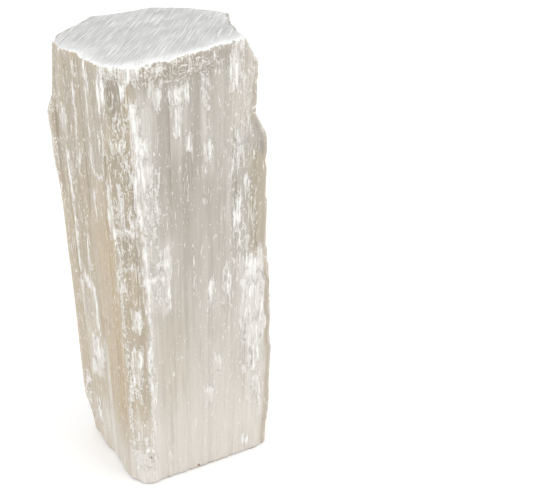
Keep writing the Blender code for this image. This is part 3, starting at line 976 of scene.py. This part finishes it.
    def mesh(self) -> bpy.types.Mesh:
        """The side and both ends as one closed mesh, with its masks as attributes."""
        wall, masks = self.wall()
        columns = wall.shape[1]
        along = self.columns(StripPlan(self.outline))[0]
        foot = self.cap(wall[0, :, :2], lambda x, y: np.zeros(x.shape), np.zeros(columns))
        top = self.cap(wall[-1, :, :2], self.cut.at, self.chipped(along))
        rings = len(foot)
        grid = np.concatenate([foot[::-1], wall, top])
        poles = np.array([foot[-1].mean(axis=0), top[-1].mean(axis=0)])
        points = np.concatenate([grid.reshape(-1, 3), poles])
        points[:, :2] -= self.centre

        low = np.arange(len(grid) - 1)[:, None] * columns + np.arange(columns)[None, :]
        after = np.roll(low, -1, axis=1)
        quads = np.stack([low, after, after + columns, low + columns], axis=-1).reshape(-1, 4)
        first = np.arange(columns)
        last = (len(grid) - 1) * columns + first
        pole = np.full(columns, grid[..., 0].size)
        below = np.stack([np.roll(first, -1), first, pole], axis=1)
        above = np.stack([last, np.roll(last, -1), pole + 1], axis=1)
        slots = np.full((len(grid) + 1, columns), Part.CUT.value)
        slots[rings:-rings - 2] = Part.SIDE.value
        ends = np.concatenate([below, above])
        mesh = mesh_of(self.name, points * MM, quads, ends, slots.reshape(-1))

        blank = np.zeros((rings, columns))
        shares = [self.cap_insets[-1] + self.cap_radius * (1 - s) for s in self.cap_shares]
        inward = np.array([*self.cap_insets, *shares])[:, None]
        bruise = masks.pop(Mask.BRUISE.value)
        ringed = {
            name: [np.repeat(values[:1], rings, axis=0), values, blank]
            for name, values in masks.items()
        }
        ringed[Mask.BRUISE.value] = [blank, bruise, self.cut_bruise(along, inward)]
        for name, stretches in ringed.items():
            values = np.append(np.concatenate(stretches).reshape(-1), [0.0, 0.0])
            attribute = mesh.attributes.new(name, "FLOAT", "POINT")
            attribute.data.foreach_set("value", values.astype(np.float32))
        return mesh

    def build(self, side: SideFinish, cut: CutFinish) -> bpy.types.Object:
        """Makes the crystal, dresses it and ties it to the frame.

        Args:
            side: Finish of the split sides.
            cut: Finish of the sawn ends.

        Returns:
            The finished piece.
        """
        mesh = self.mesh()
        mesh.materials.append(side.material())
        mesh.materials.append(cut.material())
        piece = linked(self.name, mesh)
        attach(piece, self.body)
        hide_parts(self.node)
        return piece


def mesh_of(name: str, points: Array, quads: Array, ends: Array, slots: Array) -> bpy.types.Mesh:
    """A mesh from arrays, smooth except at sharp edges.

    Args:
        name: Its name.
        points: Vertices in metres.
        quads: Corners of the four-sided faces.
        ends: Corners of the three-sided faces, which come after the quads.
        slots: Material slot of every face.

    Returns:
        The mesh.
    """
    corners = np.concatenate([quads.reshape(-1), ends.reshape(-1)])
    starts = np.concatenate([
        np.arange(len(quads)) * 4,
        len(quads) * 4 + np.arange(len(ends)) * 3,
    ])
    mesh = bpy.data.meshes.new(name)
    mesh.vertices.add(len(points))
    mesh.vertices.foreach_set("co", points.astype(np.float32).reshape(-1))
    mesh.loops.add(len(corners))
    mesh.loops.foreach_set("vertex_index", corners.astype(np.int32))
    mesh.polygons.add(len(starts))
    mesh.polygons.foreach_set("loop_start", starts.astype(np.int32))
    mesh.polygons.foreach_set("material_index", slots.astype(np.int32))
    mesh.polygons.foreach_set("use_smooth", np.ones(len(starts), bool))
    mesh.update(calc_edges=True)
    mesh.validate()
    mesh.set_sharp_from_angle(angle=math.radians(SHARP_FROM_DEG))
    return mesh


def linked(name: str, data: bpy.types.ID) -> bpy.types.Object:
    """A new object of the scene, with a mesh, a light or a camera as its data."""
    made = bpy.data.objects.new(name, data)
    bpy.context.scene.collection.objects.link(made)
    return made


# Finishes


class Graph:
    """Adds nodes to one tree. A value given to a socket is a number, a tuple or another socket."""

    def __init__(self, tree: bpy.types.NodeTree) -> None:
        """Keeps the tree."""
        self.tree = tree

    def put(self, socket: Socket, value: Any) -> None:
        """Links a socket or sets its own value."""
        if isinstance(value, bpy.types.NodeSocket):
            self.tree.links.new(value, socket)
        else:
            socket.default_value = value

    def node(self, kind: str, inputs: dict[Any, Any], **settings: Any) -> bpy.types.Node:
        """Adds a node.

        Args:
            kind: Its type without the ShaderNode prefix.
            inputs: Values of its inputs, by name or number.
            settings: Its own properties.

        Returns:
            The node.
        """
        node = self.tree.nodes.new("ShaderNode" + kind)
        for key, value in settings.items():
            setattr(node, key, value)
        for key, value in inputs.items():
            self.put(node.inputs[key], value)
        return node

    def fold(self, operation: str, *values: Any) -> Socket:
        """Values joined one after another by an operation."""
        total = values[0]
        for value in values[1:]:
            total = self.node("Math", {0: total, 1: value}, operation=operation).outputs[0]
        return total

    def add(self, *values: Any) -> Socket:
        """Sum of two or more values."""
        return self.fold("ADD", *values)

    def times(self, *values: Any) -> Socket:
        """Product of two or more values."""
        return self.fold("MULTIPLY", *values)

    def less(self, *values: Any) -> Socket:
        """The first value less the others."""
        return self.fold("SUBTRACT", *values)

    def most(self, *values: Any) -> Socket:
        """The largest of two or more values."""
        return self.fold("MAXIMUM", *values)

    def window(
        self, value: Any, low: Any, high: Any, to_low: float = 0.0, to_high: float = 1.0
    ) -> Socket:
        """Smooth step of a value from low to high."""
        spans = {"From Min": low, "From Max": high, "To Min": to_low, "To Max": to_high}
        inputs = {"Value": value, **spans}
        return self.node("MapRange", inputs, interpolation_type="SMOOTHSTEP").outputs[0]

    def turned(self, vector: Any, degrees: float) -> Socket:
        """A vector turned clockwise about Z, as seen from above."""
        turn = (0.0, 0.0, -math.radians(degrees))
        return self.node("Mapping", {"Vector": vector, "Rotation": turn}).outputs[0]

    def stretched(self, vector: Any, across: Any, along: Any) -> Socket:
        """A vector times `across` in X and Y and `along` in Z."""
        factor = self.node("CombineXYZ", {0: across, 1: across, 2: along}).outputs[0]
        return self.node("VectorMath", {0: vector, 1: factor}, operation="MULTIPLY").outputs[0]

    def noise(
        self, vector: Any, scale: Triple | None = None, shift: Triple = (0, 0, 0),
        detail: float = 2.0, roughness: float = 0.5, warp: float = 0.0,
    ) -> Socket:
        """Smooth noise around 0.5, one lattice cell a unit of the scaled and shifted vector."""
        if scale is not None:
            place = {"Vector": vector, "Scale": scale, "Location": shift}
            vector = self.node("Mapping", place).outputs[0]
        inputs = {"Vector": vector, "Scale": 1.0, "Detail": detail}
        inputs |= {"Roughness": roughness, "Distortion": warp}
        return self.node("TexNoise", inputs, noise_dimensions="3D").outputs[0]

    def mix(self, share: Any, first: Any, second: Any) -> Socket:
        """Colour between two others, each a socket or a colour."""
        node = self.node("Mix", {0: share}, data_type="RGBA")
        for number, colour in ((6, first), (7, second)):
            self.put(node.inputs[number], rgba(colour) if isinstance(colour, tuple) else colour)
        return node.outputs[2]

    def attribute(self, name: str) -> Socket:
        """A mesh attribute's value."""
        return self.node("Attribute", {}, attribute_name=name).outputs["Fac"]

    def group(self, pattern: Pattern, vector: Any, **inputs: Any) -> Any:
        """Places a shared pattern.

        Args:
            pattern: The pattern.
            vector: Where it is read.
            inputs: Its other inputs.

        Returns:
            The outputs of its node.
        """
        node = self.tree.nodes.new("ShaderNodeGroup")
        node.node_tree = pattern.tree()
        for key, value in {"Vector": vector, **inputs}.items():
            self.put(node.inputs[key], value)
        return node.outputs

    def finish(self, shader: bpy.types.Node, colour: Any, roughness: Any, height: Any) -> None:
        """Feeds a shader's colour, roughness and, through a bump, its normal."""
        bump = self.node("Bump", {"Strength": 1.0, "Distance": MM, "Height": height})
        self.put(shader.inputs["Base Color"], colour)
        self.put(shader.inputs["Roughness"], roughness)
        self.put(shader.inputs["Normal"], bump.outputs[0])


def rgba(colour: Rgb) -> tuple[float, float, float, float]:
    """A colour with full alpha."""
    return (*colour, 1.0)


@dataclass(frozen=True)
class Pattern:
    """Base of a shared pattern: a node group that is built once, by name.

    TAKES names its number inputs, beside the Vector, with their defaults. GIVES names its outputs.
    """

    TAKES: ClassVar[dict[str, float]] = {}
    GIVES: ClassVar[tuple[str, ...]] = ()

    def tree(self) -> bpy.types.NodeTree:
        """The group's node tree, built the first time it is asked for."""
        name = type(self).__name__
        if name in bpy.data.node_groups:
            return bpy.data.node_groups[name]
        tree = bpy.data.node_groups.new(name, "ShaderNodeTree")
        new_socket = tree.interface.new_socket
        new_socket(name="Vector", in_out="INPUT", socket_type="NodeSocketVector")
        for title, default in self.TAKES.items():
            socket = new_socket(name=title, in_out="INPUT", socket_type="NodeSocketFloat")
            socket.default_value = default
        for title in self.GIVES:
            new_socket(name=title, in_out="OUTPUT", socket_type="NodeSocketFloat")
        graph = Graph(tree)
        source = tree.nodes.new("NodeGroupInput").outputs
        sink = tree.nodes.new("NodeGroupOutput").inputs
        given = {title: source[title] for title in self.TAKES}
        for title, value in zip(self.GIVES, self.build(graph, source["Vector"], given)):
            graph.put(sink[title], value)
        return tree

    def build(self, graph: Graph, vector: Socket, given: dict[str, Socket]) -> tuple[Socket, ...]:
        """Adds the nodes of the group.

        Args:
            graph: The group's graph.
            vector: Its Vector input.
            given: Its other inputs.

        Returns:
            What feeds each output.
        """
        raise NotImplementedError


@dataclass(frozen=True)
class FibreGrain(Pattern):
    """Fine upright streaks and hairs, both around 0, and a height."""

    TAKES = {"Fineness": 0.5}
    GIVES = ("Streaks", "Hairs", "Height")

    def build(self, graph: Graph, vector: Socket, given: dict[str, Socket]) -> tuple[Socket, ...]:
        """Two noises, 1.6 mm and 0.5 mm wide, and 40 and 20 mm long, less 0.5."""
        streaks = graph.less(graph.noise(vector, (620, 620, 24), detail=3.0, roughness=0.55), 0.5)
        hairs = graph.less(graph.noise(vector, (2100, 2100, 48), (3, 7, 1), roughness=0.6), 0.5)
        return streaks, hairs, graph.add(streaks, graph.times(hairs, given["Fineness"]))


@dataclass(frozen=True)
class TornFibres(Pattern):
    """White splintered patches: a feathery veil, bright cores and edges, and a painted shadow
    beside them.

    Patch says where they lie, and Loose how readily loose flakes show round them.
    """

    TAKES = {"Patch": 0.0, "Loose": 0.0}
    GIVES = ("Veil", "Core", "Shadow", "Height")

    def build(self, graph: Graph, vector: Socket, given: dict[str, Socket]) -> tuple[Socket, ...]:
        """F = Patch + Loose + two noises drawn out along Z, less 0.9.

        The veil lies where F > 0.5, combed along Z. The core is where F and the comb are high,
        with a line along F = 0.5, and a painted shadow lies just outside that line.
        """
        broad = graph.noise(vector, (560, 560, 95), (1, 2, 3))
        small = graph.noise(vector, (1050, 1050, 300), (5, 1, 9), roughness=0.55)
        combed = graph.noise(vector, (1350, 1350, 42), (8, 4, 2))
        torn = graph.add(given["Patch"], given["Loose"], broad, graph.times(small, 0.9), -0.9)
        inside = graph.window(torn, 0.46, 0.52)
        veil = graph.times(inside, graph.window(combed, 0.36, 0.62, 0.35, 1.0))
        edge = graph.times(
            graph.window(torn, 0.45, 0.5),
            graph.window(torn, 0.6, 0.51),
            graph.window(small, 0.44, 0.52),
        )
        core = graph.window(graph.add(torn, combed), 1.12, 1.4)
        shadow = graph.times(graph.window(torn, 0.36, 0.44), graph.window(torn, 0.49, 0.45))
        bright = graph.most(core, graph.times(edge, 0.9))
        fibres = graph.times(combed, inside, 0.5)
        height = graph.add(graph.times(inside, 0.5), graph.times(bright, 0.5), fibres)
        return veil, bright, shadow, height


@dataclass(frozen=True)
class CombMarks(Pattern):
    """Crisp pale dashes along the fibres, short hooked ones and longer straight ones."""

    TAKES = {"Many": 0.3}
    GIVES = ("Marks",)

    def build(self, graph: Graph, vector: Socket, given: dict[str, Socket]) -> tuple[Socket, ...]:
        """Two drawn-out noises where they pass a threshold that falls as Many rises."""
        hooked = graph.noise(vector, (1150, 1150, 330), (7, 2, 4), roughness=0.6, warp=0.8)
        straight = graph.noise(vector, (1500, 1500, 90), (3, 9, 6), roughness=0.55, warp=0.2)
        least = graph.less(0.69, graph.times(given["Many"], 0.19))
        most = graph.add(least, 0.035)
        straight = graph.times(graph.window(straight, least, most), 0.8)
        return (graph.most(graph.window(hooked, least, most), straight),)


@dataclass(frozen=True)
class FractureLines(Pattern):
    """Short pale strokes where a flake has lifted, a painted shadow beside them, and a step in
    height.

    Across and Along are cells a metre, Many how many show, and Thin half the width of a line.
    """

    TAKES = {"Across": 620.0, "Along": 140.0, "Many": 0.5, "Thin": 0.05}
    GIVES = ("Lines", "Shadow", "Height")

    def build(self, graph: Graph, vector: Socket, given: dict[str, Socket]) -> tuple[Socket, ...]:
        """1 - step of |noise - 0.5|, broken into strokes by a second noise of about that size."""
        cells = graph.stretched(vector, given["Across"], given["Along"])
        relief = graph.noise(cells, roughness=0.58)
        away = graph.fold("ABSOLUTE", graph.less(relief, 0.5), 0.0)
        line = graph.less(1.0, graph.window(away, 0.0, given["Thin"]))
        aside = {0: vector, 1: (0.013, 0.007, 0.021)}
        aside = graph.node("VectorMath", aside, operation="ADD").outputs[0]
        across = graph.times(given["Across"], 0.7)
        where = graph.stretched(aside, across, given["Along"])
        where = graph.noise(where, detail=3.0, roughness=0.6)
        least = graph.less(0.66, graph.times(given["Many"], 0.18))
        shown = graph.window(where, least, graph.add(least, 0.05))
        beside = graph.window(relief, 0.505, 0.53), graph.window(relief, 0.6, 0.53)
        step = graph.window(relief, 0.47, 0.53)
        return graph.times(line, shown), graph.times(*beside, shown), graph.times(step, shown)


@dataclass(frozen=True)
class Flecks(Pattern):
    """Small bright dashes along the fibres: near points of cells, some of which are empty.

    Across and Along are cells a metre, Share how many are filled, and Size a fleck's in its cell.
    """

    TAKES = {"Across": 420.0, "Along": 110.0, "Share": 0.25, "Size": 0.2}
    GIVES = ("Flecks",)

    def build(self, graph: Graph, vector: Socket, given: dict[str, Socket]) -> tuple[Socket, ...]:
        """Distance to the cell's point under a size, where its random number allows."""
        cells = graph.stretched(vector, given["Across"], given["Along"])
        cells = graph.node("TexVoronoi", {"Vector": cells, "Scale": 1.0, "Randomness": 1.0})
        small = graph.window(cells.outputs["Distance"], given["Size"], 0.0)
        chance = graph.node("SeparateXYZ", {0: cells.outputs["Color"]}).outputs[0]
        return (graph.times(small, graph.fold("LESS_THAN", chance, given["Share"])),)


@dataclass(frozen=True)
class SawMarks(Pattern):
    """Straight marks of the saw along X: bands and scratches around 0, and white hairlines."""

    GIVES = ("Bands", "Scratches", "Hairlines", "Height")

    def build(self, graph: Graph, vector: Socket, given: dict[str, Socket]) -> tuple[Socket, ...]:
        """Noises drawn out along X at three widths across Y."""
        bands = graph.less(graph.noise(vector, (24, 420, 20)), 0.5)
        scratches = graph.noise(vector, (85, 2300, 30), (4, 1, 0), roughness=0.65)
        scratches = graph.less(scratches, 0.5)
        hair = graph.noise(vector, (60, 2000, 30), (9, 5, 0), detail=1.0)
        hairlines = graph.window(hair, 0.58, 0.66)
        height = graph.add(graph.times(bands, 0.6), scratches, graph.times(hairlines, -0.4))
        return bands, scratches, hairlines, height


@dataclass(frozen=True)
class Finish:
    """What the two finishes share: a translucent pale mineral."""

    title: str
    roughness: float
    scatter: float
    scatter_radius_m: Triple
    ior: float = 1.525

    def start(self) -> tuple[bpy.types.Material, Graph, bpy.types.Node, Socket]:
        """A material whose constant values are on the shader's own sockets.

        Returns:
            The material, its graph, its shader and its object coordinates.
        """
        material = bpy.data.materials.new(self.title)
        material.use_nodes = True
        graph = Graph(material.node_tree)
        shader = material.node_tree.nodes["Principled BSDF"]
        shader.subsurface_method = "RANDOM_WALK"
        constants = {
            "IOR": self.ior,
            "Subsurface Weight": self.scatter,
            "Subsurface Radius": self.scatter_radius_m,
            "Subsurface Scale": 1.0,
        }
        for name, value in constants.items():
            shader.inputs[name].default_value = value
        return material, graph, shader, graph.node("TexCoord", {}).outputs["Object"]


@dataclass(frozen=True)
class SideFinish(Finish):
    """Split sides: silky fibres, warm where they are deep, white where they are torn.

    A stroke gives the cells a metre across and along, and half the width, of one set of lines.
    """

    body: Rgb = (0.437, 0.405, 0.358)
    deep: Rgb = (0.325, 0.292, 0.243)
    tan: Rgb = (0.402, 0.316, 0.2)
    # low: colour of the painted glow of floor light toward the foot.
    low: Rgb = (0.605, 0.565, 0.51)
    pale: Rgb = (0.65, 0.62, 0.57)
    milk: Rgb = (0.68, 0.655, 0.615)
    white: Rgb = (0.805, 0.795, 0.765)
    dirt: Rgb = (0.24, 0.165, 0.1)
    strokes: tuple[Triple, ...] = ((640, 110, 0.05), (560, 330, 0.055), (1150, 260, 0.07))
    rough_stroke: Triple = (240, 620, 0.08)
    line_strength: float = 0.9
    dash_strength: float = 0.68
    fleck_strength: float = 0.42

    def material(self) -> bpy.types.Material:
        """The finished material."""
        material, graph, shader, place = self.start()
        add, times, window, mix = graph.add, graph.times, graph.window, graph.mix
        at = {kind: graph.attribute(kind.value) for kind in (*Surface, *Mask)}
        rough, glassy, busy = at[Surface.ROUGH], at[Surface.GLASSY], at[Surface.BUSY]
        grain = graph.group(FibreGrain(), place, Fineness=0.45)
        depth = graph.noise(place, (110, 110, 22), (2, 0, 5), 3.0, 0.55)
        crumb = graph.noise(place, (700, 700, 560), (2, 3, 5), 3.0, 0.62)

        loose = add(times(rough, 0.1), times(glassy, -0.12), -0.04)
        torn = graph.group(TornFibres(), place, Patch=at[Surface.TORN], Loose=loose)
        many = add(0.1, times(at[Surface.TORN], 0.3), times(rough, 0.2), times(busy, 0.5))
        sets = [(stroke, many) for stroke in self.strokes]
        sets.append((self.rough_stroke, add(times(rough, 1.2), -0.25)))
        strokes = [
            graph.group(FractureLines(), place, Across=across, Along=along, Many=shown, Thin=thin)
            for (across, along, thin), shown in sets
        ]
        dashes = graph.group(CombMarks(), place, Many=add(0.02, times(busy, 0.85)))["Marks"]
        share = add(0.015, times(busy, 0.12))
        specks = graph.group(Flecks(), place, Across=950.0, Along=520.0, Share=share, Size=0.27)

        ground = mix(window(depth, 0.26, 0.6, 0.4, 1.0), self.deep, self.body)
        # Painted light: lighter toward the foot, where floor light glows up through the crystal.
        ground = mix(at[Mask.PALE], ground, self.low)
        ground = mix(at[Surface.WARM], ground, self.tan)
        # Painted shade under the front rim's overhang, and darker crystal in places.
        ground = mix(times(at[Surface.DUSKY], 0.75), ground, self.deep)
        streaky = add(grain["Streaks"], times(grain["Hairs"], 0.6))
        ground = mix(window(streaky, 0.0, 0.4, 0.0, 0.4), ground, self.pale)
        ground = mix(window(streaky, 0.02, -0.36, 0.0, 0.4), ground, self.deep)
        clouded = add(depth, grain["Streaks"], times(grain["Hairs"], 0.8))
        clouded = window(clouded, 0.2, 0.75, 0.35, 1.0)
        # Milky veils, and painted light at the foot of the left facets.
        ground = mix(times(at[Surface.MILKY], clouded), ground, self.milk)
        mottled = times(rough, window(crumb, 0.62, 0.36))
        ground = mix(times(mottled, 0.8), ground, self.deep)
        # Painted shadow beside the white flakes and strokes.
        shadow = graph.most(torn["Shadow"], *(stroke["Shadow"] for stroke in strokes))
        ground = mix(times(shadow, 0.4), ground, self.deep)
        ground = mix(times(torn["Veil"], 0.7), ground, self.milk)

        drawn = graph.most(0.0, *(stroke["Lines"] for stroke in strokes))
        dashes = times(dashes, self.dash_strength)
        spots = graph.most(dashes, times(specks["Flecks"], self.fleck_strength))
        ragged = add(at[Mask.BRUISE], times(crumb, 3.4), -1.7)
        bruised = times(window(ragged, 0.35, 0.8), window(at[Mask.BRUISE], 0.0, 0.15))
        worn = graph.most(torn["Core"], bruised)
        whites = graph.most(times(drawn, self.line_strength), spots, worn)
        colour = mix(whites, ground, self.white)
        soiled = window(crumb, 0.42, 0.58, 0.3, 0.9)
        soiled = times(window(at[Mask.FOOT], 0.35, 0.75), soiled)
        soiled = graph.most(soiled, window(at[Surface.STAINED], 0.25, 0.75))
        colour = mix(soiled, colour, self.dirt)

        gloss = add(self.roughness, times(whites, 0.3), times(glassy, -0.24), times(rough, 0.12))
        lifted = add(0.0, *(stroke["Height"] for stroke in strokes))
        height = add(
            times(grain["Height"], 0.06),
            times(torn["Height"], 0.28),
            times(lifted, 0.1),
            times(spots, 0.1),
            times(rough, crumb, 0.5),
        )
        graph.finish(shader, colour, gloss, height)
        return material


@dataclass(frozen=True)
class CutFinish(Finish):
    """Sawn ends: matt cool grey, scored by the saw, white at the front rim and dull behind."""

    body: Rgb = (0.515, 0.515, 0.51)
    dark: Rgb = (0.36, 0.36, 0.355)
    white: Rgb = (0.80, 0.80, 0.795)
    worn: Rgb = (0.30, 0.28, 0.25)
    marks_toward_deg: float = 55.0
    strays_toward_deg: float = 34.0

    def material(self) -> bpy.types.Material:
        """The finished material."""
        material, graph, shader, place = self.start()
        add, times, window, mix = graph.add, graph.times, graph.window, graph.mix
        marks = graph.group(SawMarks(), graph.turned(place, self.marks_toward_deg))
        strays = graph.group(SawMarks(), graph.turned(place, self.strays_toward_deg))["Hairlines"]
        bruise = graph.attribute(Mask.BRUISE.value)
        cloud = graph.noise(place, (90, 90, 90), detail=4.0, roughness=0.6)
        grit = graph.noise(place, (1900, 1900, 1900), roughness=0.6)

        scored = times(marks["Bands"], 0.3), times(marks["Scratches"], 1.3)
        shade = add(times(cloud, 0.9), *scored)
        ground = mix(window(shade, 0.05, 0.65), self.dark, self.body)
        bright = window(add(marks["Scratches"], times(grit, 0.3)), 0.22, 0.42)
        whites = graph.most(times(bright, 0.7), times(marks["Hairlines"], 0.75))
        whites = graph.most(whites, times(strays, window(cloud, 0.5, 0.6), 0.5))
        glow = times(bruise, window(add(shade, grit), 0.3, 1.3, 0.4, 0.85))
        whites = graph.most(whites, glow)
        dulled = window(add(times(bruise, -1.0), times(grit, 0.4)), 0.35, 0.65)
        colour = mix(dulled, mix(whites, ground, self.white), self.worn)
        gloss = add(self.roughness, times(whites, 0.15))
        height = add(times(marks["Height"], 0.12), times(grit, 0.05))
        graph.finish(shader, colour, gloss, height)
        return material


# Studio


@dataclass(frozen=True)
class SoftBox:
    """A square area light that looks at a point."""

    title: str
    place_m: Triple
    side_m: float
    watts: float
    at_m: Triple = (0.0, 0.0, 0.1)

    def build(self) -> None:
        """Adds the light."""
        data = bpy.data.lights.new(self.title, "AREA")
        data.shape = "SQUARE"
        data.size = self.side_m
        data.energy = self.watts
        light = linked(self.title, data)
        light.location = self.place_m
        x, y, z = np.array(self.at_m) - np.array(self.place_m)
        heading = math.atan2(y, x) - math.pi / 2
        light.rotation_euler = (math.atan2(math.hypot(x, y), -z), 0.0, heading)


@dataclass(frozen=True)
class Studio:
    """A plain pale floor, soft light from all round, and the camera."""

    floor_half_m: float = 6.0
    floor_cells: int = 8
    floor_below_m: float = 0.0002
    floor_colour: Rgb = (0.985, 0.985, 0.985)
    sky_colour: Rgb = (1.0, 1.0, 1.0)
    sky_strength: float = 1.08
    boxes: tuple[SoftBox, ...] = (
        SoftBox("key_box", (0.9, -0.7, 1.0), 1.0, 4.5),
        SoftBox("fill_box", (-1.1, -0.5, 0.6), 1.0, 3.0),
    )
    camera_place_m: Triple = (-0.085993, -0.255190, 0.278797)
    camera_turn_deg: Triple = (57.332, 3.05, -27.9)
    lens_mm: float = 50.05
    sensor_mm: float = 36.0

    def floor(self) -> None:
        """The floor: a flat square grid, a little under the foot."""
        cells = self.floor_cells
        steps = np.linspace(-self.floor_half_m, self.floor_half_m, cells + 1)
        x, y = np.meshgrid(steps, steps)
        points = np.stack([x, y, np.full(x.shape, -self.floor_below_m)], axis=-1).reshape(-1, 3)
        corner = (np.arange(cells)[:, None] * (cells + 1) + np.arange(cells)).reshape(-1, 1)
        quads = corner + np.array([0, 1, cells + 2, cells + 1])
        name = "studio_floor"
        mesh = mesh_of(name, points, quads, np.zeros((0, 3), int), np.zeros(len(quads), int))
        material = bpy.data.materials.new(name)
        material.use_nodes = True
        shader = material.node_tree.nodes["Principled BSDF"]
        shader.inputs["Base Color"].default_value = rgba(self.floor_colour)
        shader.inputs["Roughness"].default_value = 0.8
        shader.inputs["Specular IOR Level"].default_value = 0.2
        mesh.materials.append(material)
        floor = linked(name, mesh)

    def sky(self) -> None:
        """Even white light from all round."""
        world = bpy.data.worlds.new("studio_sky")
        world.use_nodes = True
        background = world.node_tree.nodes["Background"]
        background.inputs["Color"].default_value = rgba(self.sky_colour)
        background.inputs["Strength"].default_value = self.sky_strength
        bpy.context.scene.world = world

    def camera(self) -> None:
        """The camera: turned about its own axis, tipped down, then turned about Z."""
        data = bpy.data.cameras.new("camera")
        data.lens = self.lens_mm
        data.sensor_width = self.sensor_mm
        data.clip_start = 0.01
        camera = linked("camera", data)
        camera.location = self.camera_place_m
        tip, roll, heading = (math.radians(angle) for angle in self.camera_turn_deg)
        turns = Matrix.Rotation(heading, 3, "Z") @ Matrix.Rotation(tip, 3, "X")
        camera.rotation_mode = "QUATERNION"
        camera.rotation_quaternion = (turns @ Matrix.Rotation(roll, 3, "Z")).to_quaternion()
        bpy.context.scene.camera = camera

    def build(self) -> None:
        """Sets up the whole studio."""
        self.floor()
        self.sky()
        for box in self.boxes:
            box.build()
        self.camera()
        view = bpy.context.scene.view_settings
        view.view_transform = "Standard"
        view.look = "None"


def main() -> None:
    """Builds the studio and the crystal."""
    logging.basicConfig(level=logging.INFO, format="%(name)s: %(message)s")
    Studio().build()
    side = SideFinish("satin_spar_side", 0.42, 0.65, (0.009, 0.009, 0.009))
    cut = CutFinish("satin_spar_cut", 0.55, 0.7, (0.008, 0.008, 0.008))
    crystal = FibreBundle().build(side, cut)
    LOG.info("%s: %d faces", crystal.name, len(crystal.data.polygons))


if __name__ == "__main__":
    main()
